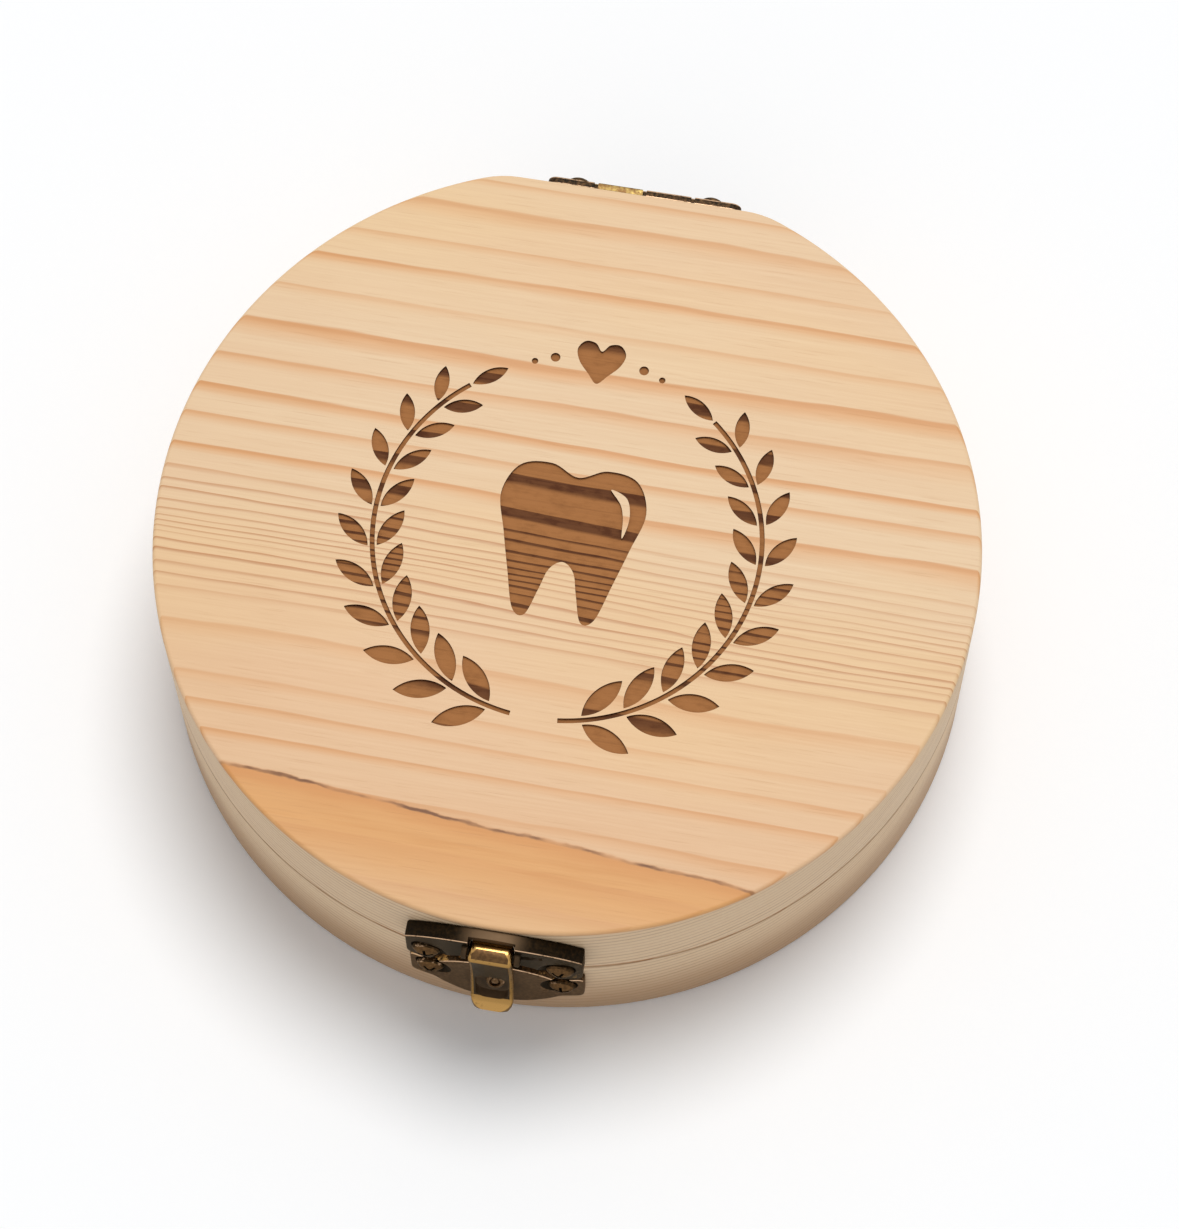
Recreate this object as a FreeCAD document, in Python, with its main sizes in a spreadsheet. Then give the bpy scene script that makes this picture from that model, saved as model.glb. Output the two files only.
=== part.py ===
import FreeCAD, Part
import math
import os

import Sketcher

# A round wooden box for milk teeth: a turned base and lid joined by one brass hinge on a flat
# at the back, and closed by a brass swing clasp at the front. Millimetres, +Z up, origin at the
# centre of the underside, clasp towards -Y and hinge towards +Y.

doc = FreeCAD.newDocument("ToothBox")
sheet = doc.addObject("Spreadsheet::Sheet", "Sizes")

driving_sizes = [
    # wooden box
    ("box_radius", "50"),
    ("base_height", "17"),
    ("lid_height", "13"),
    ("wall_thickness", "9"),
    ("seam_gap", "0.3"),
    ("edge_break", "0.5"),
    ("rear_flat_depth", "2.75"),
    ("base_floor", "4"),
    ("lid_roof", "7.2"),
    # tooth tray
    ("tray_clearance", "0.3"),
    ("tray_thickness", "9"),
    ("tray_edge_break", "0.6"),
    ("sockets_per_arch", "10"),
    ("socket_pitch_angle", "17.4"),
    ("socket_rim", "1.6"),
    ("socket_web", "1"),
    ("well_land", "5.7"),
    # wood screws
    ("screw_shank_radius", "0.8"),
    ("screw_length", "6"),
    ("screw_point", "1.6"),
    ("screw_head_radius", "1.65"),
    ("screw_head_rim", "0.35"),
    ("screw_head_height", "1.1"),
    ("screw_clearance", "0.05"),
    ("pilot_extra_depth", "0.4"),
    # hinge
    ("hinge_width", "24.4"),
    ("hinge_offset", "1.5"),
    ("leaf_margin", "0.6"),
    ("leaf_thickness", "1"),
    ("leaf_corner", "1.2"),
    ("leaf_notch_width", "0.45"),
    ("leaf_notch_depth", "0.35"),
    ("hinge_screw_edge", "3.8"),
    ("hinge_screw_margin", "2.1"),
    ("knuckle_radius", "1.8"),
    ("knuckle_gap", "0.3"),
    ("knuckle_standoff", "0.3"),
    ("hinge_pin_radius", "0.9"),
    ("pin_clearance", "0.04"),
    # clasp plates
    ("plate_gap", "0.05"),
    ("plate_half_width", "10.6"),
    ("plate_corner", "0.8"),
    ("plate_cusp", "1"),
    ("plate_bevel", "0.35"),
    ("clasp_plate_thickness", "2"),
    ("clasp_top_margin", "0.5"),
    ("clasp_crown_share", "0.45"),
    ("clasp_ear_foot", "1.9"),
    ("clasp_foot_inset", "3"),
    ("clasp_foot_share", "0.7"),
    ("catch_plate_thickness", "1.1"),
    ("catch_ear_head", "1"),
    ("catch_head_inset", "3.6"),
    ("catch_head_share", "0.51"),
    ("catch_ear_drop", "8"),
    ("catch_arch_inset", "2.8"),
    ("catch_arch_share", "0.42"),
    ("clasp_screw_edge", "2.6"),
    ("clasp_screw_rise", "5.5"),
    ("catch_screw_drop", "3.5"),
    ("screw_seat_margin", "0.3"),
    ("nub_radius", "1.25"),
    ("nub_height", "0.9"),
    ("nub_drop", "4"),
    # clasp pin and hasp
    ("clasp_pin_radius", "0.6"),
    ("clasp_pin_out", "2.1"),
    ("clasp_pin_drop", "3.3"),
    ("lug_radius", "1"),
    ("lug_thickness", "0.7"),
    ("hasp_side_gap", "0.2"),
    ("hasp_width", "5.2"),
    ("hasp_barrel_radius", "1.35"),
    ("hasp_thickness", "1"),
    ("hasp_curve_radius", "36"),
    ("hasp_lip_start_out", "3.5"),
    ("hasp_lip_start_below", "2.6"),
    ("hasp_lip_radius", "2.4"),
    ("hasp_lip_out", "4.8"),
    ("hasp_lip_below", "4.4"),
    ("hasp_window_width", "3.5"),
    ("hasp_window_above", "3"),
    ("hasp_window_height", "5.3"),
    ("hasp_window_corner", "0.9"),
    ("hasp_corner", "1.1"),
    ("barrel_slot_gap", "0.2"),
]
# Sizes that follow from those, each after the sizes that it needs.
following_sizes = [
    ("box_height", "=base_height + lid_height"),
    ("cavity_radius", "=box_radius - wall_thickness"),
    ("lid_recess_depth", "=lid_height - seam_gap - lid_roof"),
    ("tray_radius", "=cavity_radius - tray_clearance"),
    ("socket_spread", "=sin(socket_pitch_angle / 2 * 1 deg)"),
    ("socket_radius",
     "=((tray_radius - socket_rim) * socket_spread - socket_web / 2) / (1 + socket_spread)"),
    ("socket_circle_radius", "=tray_radius - socket_rim - socket_radius"),
    ("well_radius", "=socket_circle_radius - socket_radius - well_land"),
    ("leaf_height", "=lid_height - leaf_margin"),
    ("hinge_screw_spread", "=hinge_width / 2 - hinge_screw_edge"),
    ("clasp_screw_spread", "=plate_half_width - clasp_screw_edge"),
    ("clasp_crown_rise", "=plate_half_width * clasp_crown_share"),
    ("clasp_crown_radius", "=(plate_half_width ^ 2 + clasp_crown_rise ^ 2) / (2 * clasp_crown_rise)"),
    ("clasp_foot_half", "=plate_half_width - clasp_foot_inset"),
    ("clasp_foot_rise", "=clasp_foot_half * clasp_foot_share"),
    ("clasp_foot_radius", "=(clasp_foot_half ^ 2 + clasp_foot_rise ^ 2) / (2 * clasp_foot_rise)"),
    ("catch_head_half", "=plate_half_width - catch_head_inset"),
    ("catch_head_rise", "=catch_head_half * catch_head_share"),
    ("catch_head_radius", "=(catch_head_half ^ 2 + catch_head_rise ^ 2) / (2 * catch_head_rise)"),
    ("catch_arch_half", "=plate_half_width - catch_arch_inset"),
    ("catch_arch_rise", "=catch_arch_half * catch_arch_share"),
    ("catch_arch_radius", "=(catch_arch_half ^ 2 + catch_arch_rise ^ 2) / (2 * catch_arch_rise)"),
    ("clasp_pin_rise", "=lid_height - clasp_pin_drop"),
    ("hasp_lip_start_drop", "=clasp_pin_rise + hasp_lip_start_below"),
    ("hasp_lip_drop", "=clasp_pin_rise + hasp_lip_below"),
    ("hasp_window_drop", "=clasp_pin_rise - hasp_window_above"),
]
all_sizes = driving_sizes + following_sizes
for row, (alias, text) in enumerate(all_sizes, start=1):
    sheet.set(f"A{row}", alias.replace("_", " "))
    sheet.set(f"B{row}", text)
    sheet.setAlias(f"B{row}", alias)
doc.recompute()


def sized(expression):
    # Puts the sheet's name in front of each alias of an expression.
    words = {alias for alias, text in all_sizes}
    out = []
    word = ""
    for letter in expression + " ":
        if letter.isalnum() or letter == "_":
            word += letter
        else:
            out.append("Sizes." + word if word in words else word)
            out.append(letter)
            word = ""
    return "".join(out).strip()


def number(expression):
    return float(sheet.evalExpression(sized(expression)))


def bind(thing, sizes):
    for name, expression in sizes.items():
        thing.setExpression(name, sized(expression))


def place(thing, x, y, z, turn=FreeCAD.Rotation()):
    thing.Placement = FreeCAD.Placement(FreeCAD.Vector(), turn)
    bind(thing, {"Placement.Base.x": x, "Placement.Base.y": y, "Placement.Base.z": z})
    return thing


# Where the pieces meet.
rear_flat = "box_radius - rear_flat_depth"
lid_underside = "base_height + seam_gap"
hinge_axis_y = f"{rear_flat} + knuckle_standoff + knuckle_radius"
knuckle_pitch = "hinge_width / 4"
plate_inside = "box_radius + plate_gap"
plate_outside = {"lid": f"({plate_inside} + clasp_plate_thickness)",
                 "base": f"({plate_inside} + catch_plate_thickness)"}
clasp_screw_z = {"lid": "base_height + clasp_screw_rise", "base": "base_height - catch_screw_drop"}
clasp_pin_y = "-(box_radius + clasp_pin_out)"
clasp_pin_z = "base_height + clasp_pin_rise"
hinge_screw_rise = "leaf_height - hinge_screw_margin"

along_x = FreeCAD.Rotation(FreeCAD.Vector(0, 1, 0), 90)
to_front = FreeCAD.Rotation(FreeCAD.Vector(1, 0, 0), 90)
to_rear = FreeCAD.Rotation(FreeCAD.Vector(1, 0, 0), -90)


def rod(name, radius, length, x, y, z, turn=FreeCAD.Rotation()):
    thing = doc.addObject("Part::Cylinder", name)
    bind(thing, {"Radius": radius, "Height": length})
    return place(thing, x, y, z, turn)


def block(name, length, width, height, x, y, z):
    thing = doc.addObject("Part::Box", name)
    bind(thing, {"Length": length, "Width": width, "Height": height})
    return place(thing, x, y, z)


def joined(name, things):
    thing = doc.addObject("Part::MultiFuse", name)
    thing.Shapes = things
    return thing


def cut(name, base, tools):
    thing = doc.addObject("Part::Cut", name)
    thing.Base = base
    thing.Tool = tools[0] if len(tools) == 1 else joined(name + "_tools", tools)
    return thing


def common(name, base, tool):
    thing = doc.addObject("Part::Common", name)
    thing.Base = base
    thing.Tool = tool
    return thing


def new_body(name):
    return doc.addObject("PartDesign::Body", name)


def new_sketch(body, name, role):
    sketch = body.newObject("Sketcher::SketchObject", name)
    plane = [item for item in body.Origin.OriginFeatures if item.Role == role][0]
    sketch.AttachmentSupport = [(plane, "")]
    sketch.MapMode = "FlatFace"
    return sketch


def tie_point(sketch, curve, end, x, y):
    # Holds one end of a curve at a place in the sketch that the sheet gives.
    for kind, axis, expression in (("DistanceX", -2, x), ("DistanceY", -1, y)):
        if expression == "0":
            sketch.addConstraint(Sketcher.Constraint("PointOnObject", curve, end, axis))
            continue
        rule = Sketcher.Constraint(kind, -1, 1, curve, end, number(expression))
        index = sketch.addConstraint(rule)
        bind(sketch, {f"Constraints[{index}]": expression})


def outline(body, name, role, corners):
    # A closed outline. A corner is (x, y), or (x, y, radius, turn) where the edge that leaves
    # it is an arc of under half a circle, turning +1 counter-clockwise or -1 clockwise.
    sketch = new_sketch(body, name, role)
    spots = [FreeCAD.Vector(number(corner[0]), number(corner[1]), 0) for corner in corners]
    ends = []
    for index, corner in enumerate(corners):
        start = spots[index]
        finish = spots[(index + 1) % len(spots)]
        if len(corner) == 2:
            sketch.addGeometry(Part.LineSegment(start, finish), False)
            ends.append((1, 2))
            continue
        radius = number(corner[2])
        turn = corner[3]
        chord = finish - start
        left = FreeCAD.Vector(-chord.y, chord.x, 0).normalize()
        rise = math.sqrt(radius ** 2 - (chord.Length / 2) ** 2)
        centre = start + chord * 0.5 + left * rise * turn
        circle = Part.Circle(centre, FreeCAD.Vector(0, 0, 1), radius)
        first, last = (start, finish) if turn > 0 else (finish, start)
        arc = Part.ArcOfCircle(circle, circle.parameter(first), circle.parameter(last))
        sketch.addGeometry(arc, False)
        ends.append((1, 2) if turn > 0 else (2, 1))
    for index, corner in enumerate(corners):
        after = (index + 1) % len(corners)
        meeting = Sketcher.Constraint("Coincident", index, ends[index][1], after, ends[after][0])
        sketch.addConstraint(meeting)
    for index, corner in enumerate(corners):
        tie_point(sketch, index, ends[index][0], corner[0], corner[1])
        if len(corner) > 2:
            rule = sketch.addConstraint(Sketcher.Constraint("Radius", index, number(corner[2])))
            bind(sketch, {f"Constraints[{rule}]": corner[2]})
    return sketch


def rounded_panel(body, name, half, foot, head, corner):
    # An upright outline with round corners, centred on the box's middle.
    return outline(body, name, "XZ_Plane", [
        (f"-({half} - {corner})", foot),
        (f"{half} - {corner}", foot, corner, 1),
        (half, f"{foot} + {corner}"),
        (half, f"{head} - {corner}", corner, 1),
        (f"{half} - {corner}", head),
        (f"-({half} - {corner})", head, corner, 1),
        (f"-{half}", f"{head} - {corner}"),
        (f"-{half}", f"{foot} + {corner}", corner, 1),
    ])


def circles(body, name, role, rings):
    # Round outlines, each given as (x, y, radius).
    sketch = new_sketch(body, name, role)
    for index, (x, y, radius) in enumerate(rings):
        centre = FreeCAD.Vector(number(x), number(y), 0)
        circle = Part.Circle(centre, FreeCAD.Vector(0, 0, 1), number(radius))
        sketch.addGeometry(circle, False)
        tie_point(sketch, index, 3, x, y)
        rule = sketch.addConstraint(Sketcher.Constraint("Radius", index, number(radius)))
        bind(sketch, {f"Constraints[{rule}]": radius})
    return sketch


def bevelled(name, base, reach, size):
    # Bevels every edge of a plate that lies on its outer face, at the given reach from the axis.
    doc.recompute()
    near = 0.001
    rim = []
    for index, edge in enumerate(base.Shape.Edges, start=1):
        if all(abs(math.hypot(spot.x, spot.y) - number(reach)) < near for spot in edge.discretize(3)):
            rim.append((index, number(size), number(size)))
    thing = doc.addObject("Part::Chamfer", name)
    thing.Base = base
    thing.Edges = rim
    doc.recompute()
    return thing


def revolved(body, name, sketch):
    feature = body.newObject("PartDesign::Revolution", name)
    feature.Profile = sketch
    feature.ReferenceAxis = (sketch, ["V_Axis"])
    feature.Angle = 360
    return feature


def padded(body, name, sketch, length, symmetric=False):
    feature = body.newObject("PartDesign::Pad", name)
    feature.Profile = sketch
    if symmetric:
        feature.SideType = "Symmetric"
    bind(feature, {"Length": length})
    return feature


def pocketed(body, name, sketch, reverse):
    feature = body.newObject("PartDesign::Pocket", name)
    feature.Profile = sketch
    feature.Type = "ThroughAll"
    feature.Reversed = reverse
    return feature


# Screw places, as (name, x, seat, z, turn that points the shank into the wood).
left_hinge_screw = "hinge_offset - hinge_screw_spread"
right_hinge_screw = "hinge_offset + hinge_screw_spread"
hinge_seat = f"{rear_flat} + leaf_thickness"
screw_places = {"lid": [], "base": []}
for half, sign in (("lid", "+"), ("base", "-")):
    for side, x in (("left", left_hinge_screw), ("right", right_hinge_screw)):
        z = f"base_height {sign} ({hinge_screw_rise})"
        screw_places[half].append((f"hinge_{half}_screw_{side}", x, hinge_seat, z, to_front))
    seat = f"-sqrt({plate_outside[half]} ^ 2 - (clasp_screw_spread + screw_head_radius) ^ 2)"
    for side, x in (("left", "-clasp_screw_spread"), ("right", "clasp_screw_spread")):
        name = f"clasp_{half}_screw_{side}"
        screw_places[half].append((name, x, seat, clasp_screw_z[half], to_rear))


def pilot_holes(half):
    holes = []
    for name, x, seat, z, turn in screw_places[half]:
        length = "screw_length + pilot_extra_depth"
        radius = "screw_shank_radius + screw_clearance"
        holes.append(rod(f"{name}_pilot", radius, length, x, seat, z, turn))
    return holes


def rear_flat_cut(name):
    # The waste behind the flat on which the hinge sits.
    return block(name, "2 * box_radius", "rear_flat_depth + box_radius", "2 * box_height",
                 "-box_radius", rear_flat, "-box_height / 2")


def make_base_cup():
    body = new_body("base_turned")
    sketch = outline(body, "base_section", "XZ_Plane", [
        ("0", "0"),
        ("box_radius - edge_break", "0"),
        ("box_radius", "edge_break"),
        ("box_radius", "base_height"),
        ("cavity_radius", "base_height"),
        ("cavity_radius", "base_floor"),
        ("0", "base_floor"),
    ])
    revolved(body, "base_turning", sketch)
    return cut("base_cup", body, [rear_flat_cut("base_rear_waste")] + pilot_holes("base"))


def make_lid():
    body = new_body("lid_turned")
    recess_top = f"{lid_underside} + lid_recess_depth"
    sketch = outline(body, "lid_section", "XZ_Plane", [
        ("0", recess_top),
        ("cavity_radius", recess_top),
        ("cavity_radius", lid_underside),
        ("box_radius", lid_underside),
        ("box_radius", "box_height - edge_break"),
        ("box_radius - edge_break", "box_height"),
        ("0", "box_height"),
    ])
    revolved(body, "lid_turning", sketch)
    return cut("lid", body, [rear_flat_cut("lid_rear_waste")] + pilot_holes("lid"))


def make_tooth_tray():
    # An insert board: two facing arches of tooth sockets round a keepsake well.
    body = new_body("tooth_tray")
    tray_top = "base_floor + tray_thickness"
    section = outline(body, "tray_section", "XZ_Plane", [
        ("well_radius", "base_floor"),
        ("tray_radius", "base_floor"),
        ("tray_radius", f"{tray_top} - tray_edge_break"),
        ("tray_radius - tray_edge_break", tray_top),
        ("well_radius + tray_edge_break", tray_top),
        ("well_radius", f"{tray_top} - tray_edge_break"),
    ])
    revolved(body, "tray_turning", section)
    half_arch = "(sockets_per_arch - 1) * socket_pitch_angle / 2"
    z_axis = [item for item in body.Origin.OriginFeatures if item.Role == "Z_Axis"][0]
    for arch, middle in (("upper", 90), ("lower", 270)):
        start = f"({middle} - {half_arch}) * 1 deg"
        spot = (f"socket_circle_radius * cos({start})", f"socket_circle_radius * sin({start})")
        first = circles(body, f"{arch}_socket_outline", "XY_Plane", [spot + ("socket_radius",)])
        socket = pocketed(body, f"{arch}_socket", first, True)
        doc.recompute()
        row = body.newObject("PartDesign::PolarPattern", f"{arch}_arch")
        row.Originals = [socket]
        row.Axis = (z_axis, [""])
        bind(row, {"Angle": "(sockets_per_arch - 1) * socket_pitch_angle",
                   "Occurrences": "sockets_per_arch"})
        body.Tip = row
        doc.recompute()
    return body


def make_screw(name, x, seat, z, turn):
    # A domed wood screw. Its head's underside is at its own origin and its shank runs up +Z.
    body = new_body(name)
    sketch = outline(body, f"{name}_section", "XZ_Plane", [
        ("0", "-screw_head_height",
         "(screw_head_radius ^ 2 + (screw_head_height - screw_head_rim) ^ 2)"
         " / (2 * (screw_head_height - screw_head_rim))", 1),
        ("screw_head_radius", "-screw_head_rim"),
        ("screw_head_radius", "0"),
        ("screw_shank_radius", "0"),
        ("screw_shank_radius", "screw_length - screw_point"),
        ("0", "screw_length"),
    ])
    revolved(body, f"{name}_turning", sketch)
    return place(body, x, seat, z, turn)


def knuckle_start(index):
    return f"hinge_offset - hinge_width / 2 + {index} * {knuckle_pitch} + knuckle_gap / 2"


def make_hinge_leaf(half, up, own, other):
    # One leaf on the rear flat: a plate with notched free edge, rolled into two knuckles.
    name = f"hinge_{half}_leaf"
    sign = "+" if up else "-"
    turn = 1 if up else -1
    foot = f"base_height {sign} knuckle_gap"
    free_edge = f"base_height {sign} leaf_height"
    shoulder = f"base_height {sign} (leaf_height - leaf_corner)"
    left = "hinge_offset - hinge_width / 2"
    right = "hinge_offset + hinge_width / 2"
    plate = new_body(f"{name}_sheet")
    sketch = outline(plate, f"{name}_outline", "XZ_Plane", [
        (left, foot),
        (right, foot),
        (right, shoulder, "leaf_corner", turn),
        (f"{right} - leaf_corner", free_edge),
        (f"{left} + leaf_corner", free_edge, "leaf_corner", turn),
        (left, shoulder),
    ])
    bind(sketch, {"AttachmentOffset.Base.z": f"-({hinge_seat})"})
    padded(plate, f"{name}_stamping", sketch, "leaf_thickness")
    length = f"{knuckle_pitch} - knuckle_gap"
    barrel = [rod(f"{name}_knuckle_{index}", "knuckle_radius", length,
                  knuckle_start(index), hinge_axis_y, "base_height", along_x) for index in own]
    waste = [rod(f"{name}_bore", "hinge_pin_radius + pin_clearance", "2 * hinge_width",
                 "hinge_offset - hinge_width", hinge_axis_y, "base_height", along_x)]
    for index in other:
        waste.append(rod(f"{name}_clearing_{index}", "knuckle_radius + knuckle_gap",
                         f"{knuckle_pitch} + knuckle_gap",
                         f"{knuckle_start(index)} - knuckle_gap", hinge_axis_y, "base_height",
                         along_x))
    for index in (-1, 0, 1):
        waste.append(block(f"{name}_notch_{index + 2}", "leaf_notch_width", "3 * leaf_thickness",
                           "2 * leaf_notch_depth",
                           f"hinge_offset + {index} * {knuckle_pitch} - leaf_notch_width / 2",
                           f"{rear_flat} - leaf_thickness", f"{free_edge} - leaf_notch_depth"))
    for screw, x, seat, z, turn in screw_places[half]:
        if screw.startswith("hinge"):
            waste.append(rod(f"{screw}_hole", "screw_shank_radius + screw_clearance",
                             "3 * leaf_thickness", x, f"{seat} + leaf_thickness", z, turn))
    leaf = joined(f"{name}_blank", [plate] + barrel)
    return cut(name, leaf, waste)


def make_hinge_pin():
    return rod("hinge_pin", "hinge_pin_radius", "hinge_width",
               "hinge_offset - hinge_width / 2", hinge_axis_y, "base_height", along_x)


def wrapped(name, corners, outside):
    # A plate of the given outline, curved to the box's wall and bevelled round its outer face.
    body = new_body(f"{name}_stamping")
    sketch = outline(body, f"{name}_outline", "XZ_Plane", corners)
    padded(body, f"{name}_blanking", sketch, "2 * box_radius")
    height = "2 * box_height"
    outer = rod(f"{name}_outside", outside, height, "0", "0", "-box_height / 2")
    inner = rod(f"{name}_inside", plate_inside, height, "0", "0", "-box_height / 2")
    curved = common(f"{name}_curved", body, cut(f"{name}_sheet", outer, [inner]))
    return bevelled(f"{name}_rimmed", curved, outside, "plate_bevel")


def screw_seats(half):
    # Spot-faced seats and shank holes of a clasp plate's two screws.
    tools = []
    for screw, x, seat, z, turn in screw_places[half]:
        if screw.startswith("clasp"):
            tools.append(rod(f"{screw}_seat", "screw_head_radius + screw_seat_margin",
                             "box_radius", x, seat, z, to_front))
            tools.append(rod(f"{screw}_hole", "screw_shank_radius + screw_clearance",
                             "box_radius", x, "-box_radius / 2", z, to_front))
    return tools


def cusp(arch):
    # Where the small round between an ear and an arch meets the ear, and where it meets the
    # arch, as the ear's x, the arch's x and the arch's step from the ear's edge.
    radius = f"{arch}_radius"
    depth = f"({radius} - {arch}_rise)"
    share = f"({radius} / ({radius} + plate_cusp))"
    ear_x = f"sqrt(({radius} + plate_cusp) ^ 2 - ({depth} + plate_cusp) ^ 2)"
    return ear_x, f"({ear_x} * {share})", f"(({depth} + plate_cusp) * {share} - {depth})"


def make_clasp_plate():
    # The lid's plate: crowned head, foot arched over the hasp, and a slot for the hasp's barrel
    # between two lugs that hold its pin.
    crown_foot = "base_height + lid_height - clasp_top_margin - clasp_crown_rise"
    foot = "base_height + clasp_ear_foot"
    ear_end = "plate_half_width - plate_corner"
    ear_x, arch_x, step = cusp("clasp_foot")
    blank = wrapped("clasp_plate", [
        (f"-({ear_end})", foot),
        (f"-{ear_x}", foot, "plate_cusp", 1),
        (f"-{arch_x}", f"{foot} + {step}", "clasp_foot_radius", -1),
        (arch_x, f"{foot} + {step}", "plate_cusp", 1),
        (ear_x, foot),
        (ear_end, foot, "plate_corner", 1),
        ("plate_half_width", f"{foot} + plate_corner"),
        ("plate_half_width", crown_foot, "clasp_crown_radius", 1),
        ("-plate_half_width", crown_foot),
        ("-plate_half_width", f"{foot} + plate_corner", "plate_corner", 1),
    ], plate_outside["lid"])
    slot_half = "hasp_width / 2 + hasp_side_gap"
    slot_head = f"{clasp_pin_z} + hasp_barrel_radius + barrel_slot_gap"
    slot = block("clasp_plate_slot", f"2 * ({slot_half})", "box_radius", f"{slot_head} - ({foot})",
                 f"-({slot_half})", "-1.5 * box_radius", foot)
    pieces = [cut("clasp_plate_slotted", blank, [slot])]
    for side, x in (("left", f"-({slot_half}) - lug_thickness"), ("right", slot_half)):
        pieces.append(rod(f"clasp_lug_{side}_end", "lug_radius", "lug_thickness",
                          x, clasp_pin_y, clasp_pin_z, along_x))
        pieces.append(block(f"clasp_lug_{side}_root", "lug_thickness",
                            "clasp_pin_out - clasp_plate_thickness / 2", "2 * lug_radius",
                            x, clasp_pin_y, f"{clasp_pin_z} - lug_radius"))
    bore = rod("clasp_lug_bore", "clasp_pin_radius + pin_clearance", "2 * plate_half_width",
               "-plate_half_width", clasp_pin_y, clasp_pin_z, along_x)
    whole = joined("clasp_plate_blank", pieces)
    return cut("clasp_plate", whole, [bore] + screw_seats("lid"))


def make_catch_plate():
    # The base's plate: two ears and an arch, with the domed nub that stands in the hasp's window.
    head = "base_height - catch_ear_head"
    foot = "base_height - catch_ear_drop"
    ear_end = "plate_half_width - plate_corner"
    foot_ear_x, foot_arch_x, foot_step = cusp("catch_arch")
    head_ear_x, head_arch_x, head_step = cusp("catch_head")
    blank = wrapped("catch_plate", [
        (f"-({ear_end})", foot),
        (f"-{foot_ear_x}", foot, "plate_cusp", -1),
        (f"-{foot_arch_x}", f"{foot} - {foot_step}", "catch_arch_radius", 1),
        (foot_arch_x, f"{foot} - {foot_step}", "plate_cusp", -1),
        (foot_ear_x, foot),
        (ear_end, foot, "plate_corner", 1),
        ("plate_half_width", f"{foot} + plate_corner"),
        ("plate_half_width", f"{head} - plate_corner", "plate_corner", 1),
        (ear_end, head),
        (head_ear_x, head, "plate_cusp", -1),
        (head_arch_x, f"{head} + {head_step}", "catch_head_radius", 1),
        (f"-{head_arch_x}", f"{head} + {head_step}", "plate_cusp", -1),
        (f"-{head_ear_x}", head),
        (f"-({ear_end})", head, "plate_corner", 1),
        ("-plate_half_width", f"{head} - plate_corner"),
        ("-plate_half_width", f"{foot} + plate_corner", "plate_corner", 1),
    ], plate_outside["base"])
    nub = doc.addObject("Part::Sphere", "catch_nub")
    nub.Angle1 = 0
    bind(nub, {"Radius": "nub_radius"})
    nub_centre = f"-({plate_outside['base']} + nub_height - nub_radius)"
    place(nub, "0", nub_centre, "base_height - nub_drop", to_front)
    whole = joined("catch_plate_blank", [blank, nub])
    return cut("catch_plate", whole, screw_seats("base"))


def make_clasp_pin():
    half = "hasp_width / 2 + hasp_side_gap + lug_thickness"
    return rod("clasp_pin", "clasp_pin_radius", f"2 * ({half})", f"-({half})",
               clasp_pin_y, clasp_pin_z, along_x)


def make_clasp_hasp():
    # The swing hasp in side section: a barrel round the pin, a tongue that hollows inwards and
    # a lip that curls out for the thumb. Its window drops over the catch plate's nub.
    body = new_body("hasp_bent")
    pin_y = clasp_pin_y
    pin_z = clasp_pin_z
    barrel = "hasp_barrel_radius"
    neck = "(hasp_barrel_radius - hasp_thickness)"
    lip_start_z = f"{pin_z} - hasp_lip_start_drop"
    lip_lean_out = 0.5
    lip_lean_down = math.sqrt(1 - lip_lean_out ** 2)
    sketch = outline(body, "hasp_section", "YZ_Plane", [
        (f"{pin_y} - {barrel}", pin_z, "hasp_curve_radius", -1),
        ("-(box_radius + hasp_lip_start_out)", lip_start_z, "hasp_lip_radius", -1),
        ("-(box_radius + hasp_lip_out)", f"{pin_z} - hasp_lip_drop"),
        (f"-(box_radius + hasp_lip_out - {lip_lean_out} * hasp_thickness)",
         f"{pin_z} - hasp_lip_drop - {lip_lean_down} * hasp_thickness",
         "hasp_lip_radius + hasp_thickness", 1),
        ("-(box_radius + hasp_lip_start_out - hasp_thickness)", lip_start_z,
         "hasp_curve_radius + hasp_thickness", 1),
        (f"{pin_y} - {neck}", f"{pin_z} - sqrt({barrel} ^ 2 - {neck} ^ 2)", barrel, 1),
        (f"{pin_y} + {barrel}", pin_z, barrel, 1),
        (pin_y, f"{pin_z} + {barrel}", barrel, 1),
    ])
    padded(body, "hasp_strip", sketch, "hasp_width", symmetric=True)
    head = f"{pin_z} - hasp_window_drop"
    window = rounded_panel(body, "hasp_window_outline", "hasp_window_width / 2",
                           f"{head} - hasp_window_height", head, "hasp_window_corner")
    pocketed(body, "hasp_window", window, True)
    doc.recompute()
    eye = circles(body, "hasp_eye_outline", "YZ_Plane",
                  [(pin_y, pin_z, "clasp_pin_radius + pin_clearance")])
    through = pocketed(body, "hasp_eye", eye, True)
    through.SideType = "Symmetric"
    doc.recompute()
    front = new_body("hasp_front")
    panel = rounded_panel(front, "hasp_front_outline", "hasp_width / 2",
                          f"{pin_z} - hasp_lip_drop - {lip_lean_down} * hasp_thickness",
                          f"{pin_z} + {barrel}", "hasp_corner")
    padded(front, "hasp_front_block", panel, "2 * box_radius")
    return common("clasp_hasp", body, front)


sub_parts = [
    make_base_cup(),
    make_tooth_tray(),
    make_lid(),
    make_hinge_leaf("base", False, (1, 3), (0, 2)),
    make_hinge_leaf("lid", True, (0, 2), (1, 3)),
    make_hinge_pin(),
    make_catch_plate(),
    make_clasp_plate(),
    make_clasp_pin(),
    make_clasp_hasp(),
]
for half in ("base", "lid"):
    for spot in screw_places[half]:
        sub_parts.append(make_screw(*spot))
doc.recompute()

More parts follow.
